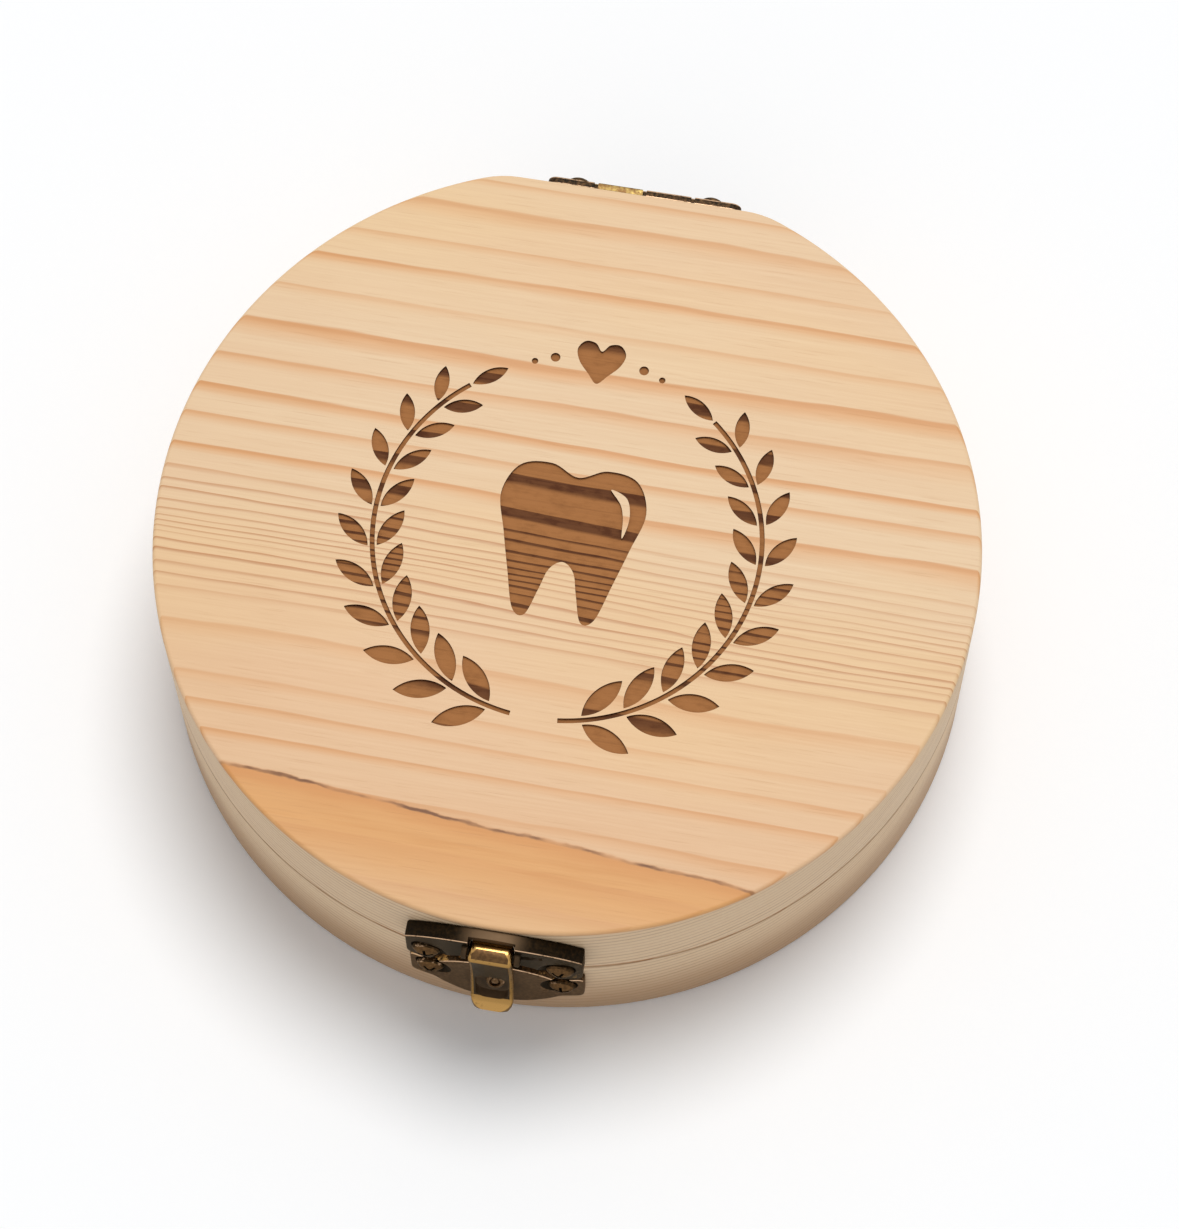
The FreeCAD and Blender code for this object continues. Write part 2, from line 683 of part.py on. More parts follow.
for thing in doc.Objects:
    if "Invalid" in thing.State or "Error" in thing.State:
        raise RuntimeError(f"{thing.Name} failed: {thing.State}")
for part in sub_parts:
    if part.Shape.isNull() or not part.Shape.isValid():
        raise RuntimeError(f"{part.Label} has no valid shape")

os.makedirs("parts", exist_ok=True)
for part in sub_parts:
    part.Shape.exportStep(f"parts/{part.Label}.step")
    box = part.Shape.BoundBox
    print(f"{part.Label}: {len(part.Shape.Solids)} solid, {part.Shape.Volume:.2f} mm3, "
          f"x {box.XMin:.2f} {box.XMax:.2f}, y {box.YMin:.2f} {box.YMax:.2f}, "
          f"z {box.ZMin:.2f} {box.ZMax:.2f}")
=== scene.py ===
import math

import bpy
from mathutils import Matrix, Quaternion, Vector


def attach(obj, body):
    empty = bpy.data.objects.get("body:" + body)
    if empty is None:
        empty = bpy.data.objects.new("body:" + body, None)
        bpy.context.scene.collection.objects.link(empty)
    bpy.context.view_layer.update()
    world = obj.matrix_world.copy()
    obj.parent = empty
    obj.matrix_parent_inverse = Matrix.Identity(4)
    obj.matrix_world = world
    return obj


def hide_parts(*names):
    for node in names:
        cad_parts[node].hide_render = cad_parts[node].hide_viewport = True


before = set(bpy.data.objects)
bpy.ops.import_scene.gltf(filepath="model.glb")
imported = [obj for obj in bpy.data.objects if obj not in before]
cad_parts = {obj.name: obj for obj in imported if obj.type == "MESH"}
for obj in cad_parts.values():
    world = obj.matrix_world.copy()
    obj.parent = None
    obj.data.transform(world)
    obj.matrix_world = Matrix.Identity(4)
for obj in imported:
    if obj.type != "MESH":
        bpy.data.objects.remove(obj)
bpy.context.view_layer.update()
mm = 0.001    # the lengths in the dictionaries below are in millimetres
near = 0.01   # places closer than this, in millimetres, are the same
print("frame loaded,", len(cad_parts), "nodes")


# bench tools, used by every piece

def only(*pieces):
    # object mode, with just these pieces picked and the first of them active
    if bpy.context.mode != "OBJECT":
        bpy.ops.object.mode_set(mode="OBJECT")
    bpy.ops.object.select_all(action="DESELECT")
    for piece in pieces:
        piece.select_set(True)
    if pieces:
        bpy.context.view_layer.objects.active = pieces[0]


def named(name):
    piece = bpy.context.object
    piece.name = name
    piece.data.name = name
    bpy.ops.object.transform_apply(location=True, rotation=True, scale=True)
    return piece


def rod(name, radius, length, centre, axis="Z", sides=96):
    only()
    turns = {"X": (0, math.pi / 2, 0), "Y": (math.pi / 2, 0, 0), "Z": (0, 0, 0)}
    bpy.ops.mesh.primitive_cylinder_add(
        vertices=sides, radius=radius * mm, depth=length * mm,
        location=[value * mm for value in centre], rotation=turns[axis])
    return named(name)


def block(name, low, high):
    only()
    bpy.ops.mesh.primitive_cube_add(size=1, location=[(a + b) / 2 * mm for a, b in zip(low, high)])
    bpy.context.object.scale = [(b - a) * mm for a, b in zip(low, high)]
    return named(name)


def copied(piece, name):
    only(piece)
    bpy.ops.object.duplicate(linked=False)
    return named(name)


def placed(piece, spot, turn=(0, 0, 0)):
    piece.rotation_euler = turn
    piece.location = [value * mm for value in spot]
    only(piece)
    return named(piece.name)


def editAll(piece):
    only(piece)
    bpy.ops.object.mode_set(mode="EDIT")
    bpy.ops.mesh.select_mode(type="VERT")
    bpy.ops.mesh.select_all(action="SELECT")


def picked(piece, kind, test):
    # edit mode, with just the edges or faces picked that the test takes
    only(piece)
    bpy.ops.object.mode_set(mode="EDIT")
    bpy.ops.mesh.select_mode(type=kind)
    bpy.ops.mesh.select_all(action="DESELECT")
    bpy.ops.object.mode_set(mode="OBJECT")
    mesh = piece.data
    if kind == "FACE":
        for face in mesh.polygons:
            face.select = test(face.center / mm, face.normal)
    else:
        for edge in mesh.edges:
            edge.select = test(*[mesh.vertices[index].co / mm for index in edge.vertices])
    bpy.ops.object.mode_set(mode="EDIT")


def done():
    bpy.ops.object.mode_set(mode="OBJECT")


def atLevel(level):
    return lambda a, b: abs(a.z - level) < near and abs(b.z - level) < near


def acrossX(a, b):
    return abs(a.x - b.x) < near


def alongY(a, b):
    return abs(a.y - b.y) > 1


def eased(piece, size, segments, test):
    # the edges that the test takes are rounded
    picked(piece, "EDGE", test)
    bpy.ops.mesh.bevel(offset=size * mm, segments=segments, affect="EDGES", clamp_overlap=False)
    done()


def sliced(piece, axis, places, clear=False):
    # straight cuts across a piece; clear takes off what is past each cut and closes it
    direction = Vector([float(letter == axis) for letter in "XYZ"])
    for place in places:
        editAll(piece)
        bpy.ops.mesh.bisect(plane_co=direction * place * mm, plane_no=direction,
                            use_fill=clear, clear_outer=clear, threshold=0.001 * mm)
        done()


def modified(piece, kind, **settings):
    only(piece)
    modifier = piece.modifiers.new(kind, kind)
    for name, value in settings.items():
        setattr(modifier, name, value)
    bpy.ops.object.modifier_apply(modifier=modifier.name)


def combined(piece, operation, tool, finish):
    # the faces that the tool leaves take its finish
    if finish:
        painted(tool, finish)
    modified(piece, "BOOLEAN", object=tool, operation=operation, solver="EXACT",
             material_mode="TRANSFER")
    bpy.data.objects.remove(tool)


def cut(piece, tool, finish=None):
    combined(piece, "DIFFERENCE", tool, finish)


def welded(piece, other, finish=None):
    combined(piece, "UNION", other, finish)


def kept(piece, mould, finish=None):
    # what is inside the mould stays
    combined(piece, "INTERSECT", mould, finish)


def onCircle(radius, degrees):
    angle = math.radians(degrees)
    return (radius * math.cos(angle), radius * math.sin(angle))


def outlinePoints(corners, step):
    # a corner is (x, y), or (x, y, radius, turn) where an arc leaves it, turning left for +1
    points = []
    for index, corner in enumerate(corners):
        start = Vector(corner[:2])
        finish = Vector(corners[(index + 1) % len(corners)][:2])
        points.append(start)
        if len(corner) == 2:
            continue
        radius, turn = corner[2:]
        chord = finish - start
        left = Vector((-chord.y, chord.x)).normalized()
        depth = math.sqrt(radius ** 2 - chord.length_squared / 4)
        centre = (start + finish) / 2 + left * turn * depth
        sweep = 2 * math.asin(chord.length / 2 / radius) * turn
        count = max(3, round(abs(sweep) * radius / step))
        for part in range(1, count):
            points.append(centre + Matrix.Rotation(sweep * part / count, 2) @ (start - centre))
    return points


def stamped(name, outlines, thickness, rim, rimSteps=2):
    # a sheet in the XY plane, centred on z 0, whose outer edges are rounded by rim
    drawing = bpy.data.curves.new(name, "CURVE")
    drawing.dimensions = "2D"
    drawing.fill_mode = "BOTH"
    drawing.extrude = (thickness / 2 - rim) * mm
    drawing.bevel_depth = rim * mm
    drawing.bevel_resolution = rimSteps
    drawing.offset = -rim * mm
    for points in outlines:
        line = drawing.splines.new("POLY")
        line.points.add(len(points) - 1)
        for spot, point in zip(line.points, points):
            spot.co = (point[0] * mm, point[1] * mm, 0, 1)
        line.use_cyclic_u = True
    piece = bpy.data.objects.new(name, drawing)
    bpy.context.scene.collection.objects.link(piece)
    only(piece)
    bpy.ops.object.convert(target="MESH")
    piece = bpy.context.object
    editAll(piece)
    bpy.ops.mesh.remove_doubles(threshold=0.002 * mm)
    bpy.ops.mesh.normals_make_consistent(inside=False)
    done()
    return piece


def painted(piece, *finishes):
    piece.data.materials.clear()
    for finish in finishes:
        piece.data.materials.append(finish)


def settled(piece, body, node, angle=40):
    only(piece)
    bpy.ops.object.shade_smooth_by_angle(angle=math.radians(angle))
    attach(piece, body)
    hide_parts(node)


# finishes

class Wire:
    # a shader socket that can be used in an expression
    def __init__(self, tree, socket=None):
        self.tree = tree
        self.socket = socket

    def node(self, kind, settings=None, inputs=None, out=0):
        made = self.tree.nodes.new("ShaderNode" + kind)
        for name, value in (settings or {}).items():
            setattr(made, name, value)
        for key, value in (inputs or {}).items():
            if isinstance(value, Wire):
                self.tree.links.new(value.socket, made.inputs[key])
            else:
                made.inputs[key].default_value = value
        return Wire(self.tree, made.outputs[out])

    def sum(self, operation, *values):
        return self.node("Math", {"operation": operation}, dict(enumerate(values)))

    def __add__(self, other):
        return self.sum("ADD", self, other)

    def __sub__(self, other):
        return self.sum("SUBTRACT", self, other)

    def __rsub__(self, other):
        return self.sum("SUBTRACT", other, self)

    def __mul__(self, other):
        return self.sum("MULTIPLY", self, other)

    def __truediv__(self, other):
        return self.sum("DIVIDE", self, other)

    __radd__ = __add__

    def ease(self, low, high):
        # 0 up to low and 1 from high, smoothly between
        return self.node("MapRange", {"interpolation_type": "SMOOTHSTEP"},
                         {"Value": self, "From Min": low, "From Max": high})

    def tint(self, first, second):
        # from the first colour to the second as this goes from 0 to 1
        return self.node("Mix", {"data_type": "RGBA"}, {0: self, 6: first, 7: second}, out=2)

    def noise(self, scale, detail=2.0, roughness=0.5, shift=0.0):
        # this is a place in millimetres, and scale is in turns for each millimetre along x, y, z
        start = (shift, shift, shift)
        spot = self.node("Mapping", None, {"Vector": self, "Location": start, "Scale": scale})
        return self.node("TexNoise", None, {"Vector": spot, "Scale": 1.0, "Detail": detail,
                                            "Roughness": roughness})


def rgb(red, green, blue):
    # a colour as a paint chart gives it, 0 to 255, for a shader
    def linear(value):
        share = value / 255
        return share / 12.92 if share <= 0.04045 else ((share + 0.055) / 1.055) ** 2.4
    return (linear(red), linear(green), linear(blue), 1.0)


def newFinish(name):
    finish = bpy.data.materials.new(name)
    finish.use_nodes = True
    tree = finish.node_tree
    flow = Wire(tree)
    place = flow.node("TexCoord", out="Object")
    spot = flow.node("VectorMath", {"operation": "SCALE"}, {0: place, "Scale": 1 / mm})
    return finish, tree.nodes["Principled BSDF"], flow, spot


def feed(shader, **inputs):
    for name, value in inputs.items():
        socket = shader.inputs[name.replace("_", " ")]
        if isinstance(value, Wire):
            value.tree.links.new(value.socket, socket)
        else:
            socket.default_value = value


def relief(flow, height, depth, strength=1.0):
    # depth is the height in millimetres of a full step
    return flow.node("Bump", None, {"Height": height, "Distance": depth * mm, "Strength": strength})


pine = {
    "early": rgb(236, 206, 168),
    "pink": rgb(232, 188, 146),
    "honey": rgb(240, 202, 146),
    "late": rgb(222, 159, 98),
    "ringEdge": rgb(200, 136, 80),
    "fineLate": rgb(190, 132, 88),
    "heart": rgb(228, 170, 108),
    "heartLate": rgb(212, 146, 82),
    "streak": rgb(88, 46, 22),
    "fringe": rgb(214, 142, 78),
    "wall": rgb(238, 212, 176),
    "wallLate": rgb(170, 134, 98),
    "wallFootShade": rgb(160, 114, 70),
    "seam": rgb(140, 98, 60),
    "fibre": rgb(204, 152, 108),
    "ring": 4.6,             # ring spacing across the top, away from the crowded years
    "crowdFrom": -17.0,      # the crowded years lie between these two
    "crowdTo": 3.0,
    "crowdRings": 10.0,
    "depthRing": 1.15,       # ring spacing down the wall
    "top": 30.0,
    "sideFade": (48.3, 48.8),     # from inside to wall, as a reach from the middle
    "flatFade": (46.7, 47.1),     # the same at the hinge's flat
    "topFade": (29.7, 29.3),      # from top to wall
    "seamMiddle": 17.15,
    "seamFade": (0.155, 0.24),    # from the seam's faces to wall
    "seamGrimeAndShadeFade": (0.5, 0.15),
    "heartFrom": 38.0,       # the heartwood's line, in front of the middle, and its lean
    "heartLean": 0.086,
    "heartTop": (29.2, 29.7),
}


def grain(flow, spot, board):
    # growth rings of a flat-sawn board with its grain along X
    x, y, z = [flow.node("SeparateXYZ", None, {0: spot}, out=axis) for axis in "XYZ"]
    wander = spot.noise((0.011, 0.03, 0.03), 1.0, 0.4, board["seed"]) - 0.5
    ripple = spot.noise((0.05, 0.25, 0.25), 2.0, 0.5, board["seed"] + 9) - 0.5
    uneven = spot.noise((0.003, 0.11, 0.02), 1.0, 0.5, board["seed"] + 80) - 0.5
    hair = spot.noise((0.05, 1.3, 1.3), 2.0, 0.6, board["seed"] + 88) - 0.5
    across = y + x * board["lean"] + wander * 3.0 + ripple * 0.8
    across = across + uneven * 7.0 + hair * 0.4 + board["shift"]
    crowd = across.ease(pine["crowdFrom"], pine["crowdTo"])
    depth = pine["top"] - z
    rings = across / pine["ring"] + crowd * pine["crowdRings"] + depth / pine["depthRing"]
    year = flow.sum("FLOOR", rings)
    season = rings - year
    chance = flow.node("TexWhiteNoise", {"noise_dimensions": "1D"}, {"W": year + board["seed"]})
    fade = spot.noise((0.02, 0.12, 0.12), 2.0, 0.5, board["seed"] + 21).ease(0.25, 0.6)
    strength = (chance * 0.6 + 0.4) * (fade * 0.5 + 0.5)
    late = season.ease(0.55, 0.94) * season.ease(1.0, 0.95) * strength
    edge = season.ease(0.82, 0.93) * season.ease(1.0, 0.96) * strength
    crowded = across.ease(pine["crowdFrom"] - 1, pine["crowdFrom"] + 3)
    crowded = crowded * across.ease(pine["crowdTo"] + 1, pine["crowdTo"] - 4)
    fibre = spot.noise((0.06, 3.4, 3.4), 3.0, 0.6, board["seed"] + 33)
    pores = spot.noise((0.13, 5.5, 5.5), 1.0, 0.5, board["seed"] + 47).ease(0.64, 0.74)
    # the outside wall, the hinge's flat with it, but not the top or the two faces of the seam
    reach = flow.sum("SQRT", x * x + y * y)
    outside = flow.sum("MAXIMUM", reach.ease(*pine["sideFade"]), y.ease(*pine["flatFade"]))
    seamAway = flow.sum("ABSOLUTE", z - pine["seamMiddle"])
    wall = outside * z.ease(*pine["topFade"]) * seamAway.ease(*pine["seamFade"])
    return {"x": x, "y": y, "z": z, "late": late, "edge": edge, "crowded": crowded, "fibre": fibre,
            "pores": pores, "wall": wall, "seamAway": seamAway}


def pineColour(flow, spot, board, wood):
    blush = spot.noise((0.012, 0.05, 0.05), 2.0, 0.5, board["seed"] + 60).ease(0.35, 0.7)
    toFront = wood["y"].ease(4.0, -30.0)
    glow = spot.noise((0.015, 0.04, 0.04), 2.0, 0.5, board["seed"] + 95).ease(0.45, 0.75)
    base = (blush * 0.35 + toFront * 0.6).tint(pine["early"], pine["pink"])
    base = (glow * 0.4).tint(base, pine["honey"])
    ringTone = wood["crowded"].tint(pine["late"], pine["fineLate"])
    colour = (wood["late"] * 0.95).tint(base, ringTone)
    colour = (wood["edge"] * 0.45).tint(colour, pine["ringEdge"])
    if board["heart"]:
        # the front of the lid is heartwood, behind a dark broken line
        jitter = (spot.noise((0.11, 0.3, 0.3), 4.0, 0.62, 5.0) - 0.5) * 1.7
        line = wood["y"] + wood["x"] * pine["heartLean"] + jitter + pine["heartFrom"]
        onTop = wood["z"].ease(*pine["heartTop"])
        inside = line.ease(0.25, -0.35) * onTop
        veins = spot.noise((0.035, 0.7, 0.7), 3.0, 0.65, 52.0).ease(0.48, 0.72)
        heartTone = (wood["late"] * 0.5 + veins * 0.45).tint(pine["heart"], pine["heartLate"])
        paler = line.ease(-4.0, -13.0) * 0.45
        heartTone = paler.tint(heartTone, pine["early"])
        colour = inside.tint(colour, heartTone)
        gaps = spot.noise((0.1, 0.1, 0.1), 3.0, 0.65, 71.0).ease(0.36, 0.6) * onTop
        away = flow.sum("ABSOLUTE", line)
        fringe = line.ease(-2.6, -0.2) * line.ease(0.5, 0.0) * onTop
        colour = (fringe * 0.55).tint(colour, pine["fringe"])
        colour = (away.ease(0.3, 0.06) * gaps * 0.9).tint(colour, pine["streak"])
    wallTone = (wood["late"] * 0.9).tint(pine["wall"], pine["wallLate"])
    colour = (wood["wall"] * 0.85).tint(colour, wallTone)
    # painted shade: the base's wall darker towards the floor
    colour = (wood["z"].ease(15.0, 3.0) * wood["wall"] * 0.55).tint(colour, pine["wallFootShade"])
    # a dark band along the seam between lid and base: grime with painted shade
    seamGrimeAndShade = wood["seamAway"].ease(*pine["seamGrimeAndShadeFade"]) * wood["wall"]
    colour = (seamGrimeAndShade * 0.75).tint(colour, pine["seam"])
    shade = wood["fibre"].ease(0.25, 0.75) * 0.5 + wood["pores"] * 0.6
    return (shade * 0.32).tint(colour, pine["fibre"])


def pineFinish(name, board):
    finish, shader, flow, spot = newFinish(name)
    wood = grain(flow, spot, board)
    colour = pineColour(flow, spot, board, wood)
    height = wood["fibre"] * 0.5 - wood["pores"] * 0.5 + wood["late"] * 0.4
    feed(shader, Base_Color=colour, Roughness=wood["fibre"] * 0.16 + 0.46 - wood["late"] * 0.08,
         Normal=relief(flow, height, 0.03, 0.6), Specular_IOR_Level=0.4)
    return finish


def burntFinish(name, board, floor, dark):
    finish, shader, flow, spot = newFinish(name)
    wood = grain(flow, spot, board)
    soot = spot.noise((0.5, 1.1, 1.1), 3.0, 0.6, 15.0)
    char = wood["late"].ease(0.05, 0.45) * 0.85 + soot.ease(0.45, 0.75) * 0.2
    char = char + wood["fibre"].ease(0.45, 0.8) * 0.2
    colour = flow.sum("MINIMUM", char, 1.0).tint(floor, dark)
    feed(shader, Base_Color=colour, Roughness=soot * 0.2 + 0.62,
         Normal=relief(flow, wood["fibre"] + char, 0.06, 0.7), Specular_IOR_Level=0.2)
    return finish


brass = {
    "black": rgb(18, 12, 5),
    "deep": rgb(42, 29, 14),
    "steel": rgb(70, 60, 50),
    "umber": rgb(86, 62, 38),
    "bronze": rgb(112, 82, 50),
    "tan": rgb(118, 94, 70),
    "olive": rgb(164, 140, 84),
    "gold": rgb(178, 138, 80),
    "rose": rgb(206, 170, 136),
    "sheen": (0.65, 0.6, 0.52, 1),   # the tint of its reflections
}


def brassFinish(name, dark, ground, bright, worn, roughness, metal, seed, middle=None):
    # worn is the share that is rubbed down to the bright metal, metal how metallic the tarnish
    # still is; middle is painted shade near x 0, or on the plates' dark edge a painted reflection:
    # its name, where it starts, where it is full and its share, and for a round patch its height
    finish, shader, flow, spot = newFinish(name)
    cloud = spot.noise((0.35, 0.35, 0.35), 4.0, 0.6, seed)
    speck = spot.noise((2.2, 2.2, 2.2), 3.0, 0.65, seed + 7)
    rubbed = (cloud * 0.6 + speck * 0.4).ease(0.66 - worn * 0.4, 0.74 - worn * 0.3)
    colour = speck.ease(0.35, 0.7).tint(brass[dark], brass[ground])
    colour = rubbed.tint(colour, brass[bright])
    if middle:
        paintedTone, start, full, share, *height = middle
        x, z = [flow.node("SeparateXYZ", None, {0: spot}, out=axis) for axis in "XZ"]
        rise = z - height[0] if height else 0.0
        aside = flow.sum("SQRT", x * x + rise * rise)
        # painted shade near x 0, or a painted reflection where the middle's tone is lighter
        colour = (aside.ease(start, full) * share).tint(colour, brass[paintedTone])
    feed(shader, Base_Color=colour, Roughness=roughness + speck * 0.2 - rubbed * 0.1,
         Metallic=rubbed * (1 - metal) + metal, Normal=relief(flow, speck, 0.02, 0.5),
         Specular_IOR_Level=0.2, Specular_Tint=brass["sheen"])
    return finish


lidBoard = {"seed": 3.0, "lean": 0.015, "shift": 0.0, "heart": True}
baseBoard = {"seed": 41.0, "lean": -0.03, "shift": 9.0, "heart": False}
trayBoard = {"seed": 77.0, "lean": 0.02, "shift": 4.0, "heart": False}
finishes = {
    "lid": pineFinish("lidPine", lidBoard),
    "base": pineFinish("basePine", baseBoard),
    "tray": pineFinish("trayPine", trayBoard),
    "burnFloor": burntFinish("burntFloor", lidBoard, rgb(170, 113, 64), rgb(84, 44, 18)),
    # the burnt pockets' walls: darker char with painted shade
    "burnEdgeCharAndShade": burntFinish("burntEdgeCharAndShade", lidBoard, rgb(98, 56, 28), rgb(66, 34, 16)),
}
metals = {
    # dark, ground and bright tone, worn, roughness, metal, seed, and painted shade or painted reflection
    # near the middle
    # the clasp plate's face: painted shade beside the hasp
    "plate": ("deep", "steel", "gold", 0.1, 0.32, 0.8, 2.0, ("black", 6.2, 3.6, 0.8)),
    # the dark edges: a painted reflection, lighter near the middle
    "plateEdge": ("black", "deep", "umber", 0.12, 0.42, 0.7, 62.0, ("tan", 4.8, 1.5, 0.55)),
    "plateRim": ("umber", "rose", "rose", 0.75, 0.28, 0.9, 12.0),
    # the catch plate's face: painted shade where it shows through the hasp's window
    "catch": ("umber", "tan", "gold", 0.1, 0.32, 0.8, 17.0, ("black", 4.6, 0.8, 0.7, 11.8)),
    # the catch plate's top edge: painted shade under the hasp
    "catchEdge": ("deep", "umber", "gold", 0.3, 0.3, 0.7, 72.0, ("deep", 4.0, 1.2, 0.5)),
    "nub": ("umber", "tan", "rose", 0.3, 0.1, 0.9, 82.0),
    "hasp": ("umber", "bronze", "gold", 0.08, 0.3, 0.6, 22.0),
    "haspTongue": ("deep", "steel", "gold", 0.08, 0.26, 0.8, 92.0),
    "haspRim": ("umber", "gold", "gold", 0.8, 0.22, 0.95, 32.0),
    "screw": ("umber", "bronze", "tan", 0.1, 0.24, 0.85, 42.0),
    "screwRim": ("deep", "umber", "rose", 0.3, 0.26, 0.85, 44.0),
    "hinge": ("black", "umber", "tan", 0.25, 0.36, 0.4, 52.0),
    # the hinge's painted highlight
    "hingeHighlight": ("bronze", "olive", "olive", 0.4, 0.36, 0.7, 57.0),
}
for name, look in metals.items():
    finishes[name] = brassFinish(name + "Brass", *look)
print("finishes mixed:", len(finishes))


# the wooden box

box = {
    "radius": 50.0, "flat": 47.25, "blend": 12.0, "facet": 1.2,
    "seam": 17.0, "lidLow": 17.3, "top": 30.0,
    "hollow": 41.0, "floor": 4.0, "recessTop": 22.8, "hollowSides": 192,
    "outerEdge": 0.5, "seamEdge": 0.2, "innerEdge": 0.4,
}


def blankLine():
    # a circle with the hinge's flat planed on, blended softly into the round
    radius = box["radius"]
    blendY = box["flat"] - box["blend"]
    blendX = math.sqrt((radius - box["blend"]) ** 2 - blendY ** 2)
    share = radius / (radius - box["blend"])
    corners = [(-radius, 0, radius, 1), (0, -radius, radius, 1), (radius, 0, radius, 1),
               (blendX * share, blendY * share, box["blend"], 1), (blendX, box["flat"]),
               (-blendX, box["flat"], box["blend"], 1), (-blendX * share, blendY * share, radius, 1)]
    return outlinePoints(corners, box["facet"])


def turnedBlank(name, low, high, lowEdge, highEdge):
    # a turned disc with both rims eased
    piece = stamped(name, [blankLine()], high - low, 0.0)
    placed(piece, (0, 0, (low + high) / 2))
    editAll(piece)
    bpy.ops.mesh.dissolve_limited(angle_limit=math.radians(0.05))
    done()
    for level, size in ((low, lowEdge), (high, highEdge)):
        eased(piece, size, 4, atLevel(level))
    return piece


def makeBase():
    piece = turnedBlank("baseCup", 0.0, box["seam"], box["outerEdge"], box["seamEdge"])
    painted(piece, finishes["base"])
    depth = box["seam"] + 1 - box["floor"]
    middle = (0, 0, box["floor"] + depth / 2)
    cut(piece, rod("baseHollow", box["hollow"], depth, middle, sides=box["hollowSides"]))
    onSeam = atLevel(box["seam"])
    inner = box["hollow"] + 1
    eased(piece, box["innerEdge"], 3,
          lambda a, b: onSeam(a, b) and a.xy.length < inner and b.xy.length < inner)
    settled(piece, "base", "base_cup")


makeBase()
print("base turned")

tray = {
    "radius": 40.7, "low": 4.0, "top": 13.0, "well": 24.0, "socket": 4.7, "circle": 34.4,
    "perArch": 10, "pitch": 17.4, "drill": 20.0, "edge": 0.42,
    "bridge": 2.0,   # longer edges on the top only join the rims, and stay flat
}


def makeTray():
    middle = (tray["low"] + tray["top"]) / 2
    piece = rod("toothTray", tray["radius"], tray["top"] - tray["low"], (0, 0, middle), sides=160)
    painted(piece, finishes["tray"])
    cut(piece, rod("trayWell", tray["well"], tray["drill"], (0, 0, middle), sides=128))
    drill = rod("socketDrill", tray["socket"], tray["drill"], (0, 0, 0), sides=48)
    for arch in (90, 270):
        for place in range(tray["perArch"]):
            degrees = arch + (place - (tray["perArch"] - 1) / 2) * tray["pitch"]
            spot = (*onCircle(tray["circle"], degrees), middle)
            cut(piece, placed(copied(drill, "socketTool"), spot))
    bpy.data.objects.remove(drill)
    onTop = atLevel(tray["top"])
    eased(piece, tray["edge"], 3, lambda a, b: onTop(a, b) and (a - b).length < tray["bridge"])
    settled(piece, "base", "tooth_tray")


makeTray()
print("tray drilled")

# the lid's burnt decoration: a tooth in a leaf wreath with a heart above; tooth and heart are
# drawn as right halves, from the top to the foot
burn = {
    "depth": 0.35, "above": 0.5,
    "wreath": 23.5, "stem": 0.6, "stemFrom": 7, "stemTo": 140, "stemSteps": 60,
    "leaves": 10, "leafFrom": 14, "leafPitch": 12.8, "leafLean": 38, "leafGap": 0.25,
    "leafLong": 6.6, "leafShort": 4.8, "leafWidth": 0.37, "leafStep": 0.25,
    "tipGap": 0.8, "tipTurn": 94,
    "tooth": [(0.0, 8.0), (3.4, 9.4), (7.2, 8.6), (8.9, 4.6), (7.7, -0.4), (6.4, -5.2),
              (5.0, -10.0), (3.4, -10.6), (2.3, -7.2), (1.5, -4.4), (0.0, -3.2)],
    "shine": [(4.2, 7.1), (6.3, 6.2), (7.0, 3.6), (6.5, 1.0), (6.2, 3.6), (5.6, 5.4)],
    "heart": [(0.0, 1.5), (0.9, 2.5), (2.2, 2.6), (3.0, 1.4), (2.5, -0.2), (1.2, -1.7),
              (0.0, -2.9)],
    "heartRise": 23.6,
    "dots": [(5.5, 23.4, 0.6), (7.9, 22.5, 0.4)],
}


def burnTool(name, outlines):
    thick = burn["depth"] + burn["above"]
    tool = stamped(name, outlines, thick, 0.0)
    return placed(tool, (0, 0, box["top"] - burn["depth"] + thick / 2))


def smoothLine(points, steps=8):
    # a closed smooth line through a few drawn points
    count = len(points)
    line = []
    for index in range(count):
        before, start, finish, after = [Vector(points[(index + k) % count]) for k in (-1, 0, 1, 2)]
        for part in range(steps):
            t = part / steps
            line.append(0.5 * (2 * start + (finish - before) * t
                               + (2 * before - 5 * start + 4 * finish - after) * t ** 2
                               + (3 * start - before - 3 * finish + after) * t ** 3))
    return line


def mirrored(half):
    # right half of a drawing, from its top to its foot, and the same on the left
    return half + [(-x, y) for x, y in reversed(half) if abs(x) > 0.01]


def leafLine(length):
    # a pointed leaf along +X, its stalk at 0
    width = length * burn["leafWidth"] / 2
    radius = (length ** 2 / 4 + width ** 2) / (2 * width)
    return outlinePoints([(0, 0, radius, 1), (length, 0, radius, 1)], burn["leafStep"])


def moved(points, spot, angle):
    turn = Matrix.Rotation(math.radians(angle), 2)
    return [turn @ Vector(point[:2]) + Vector(spot) for point in points]


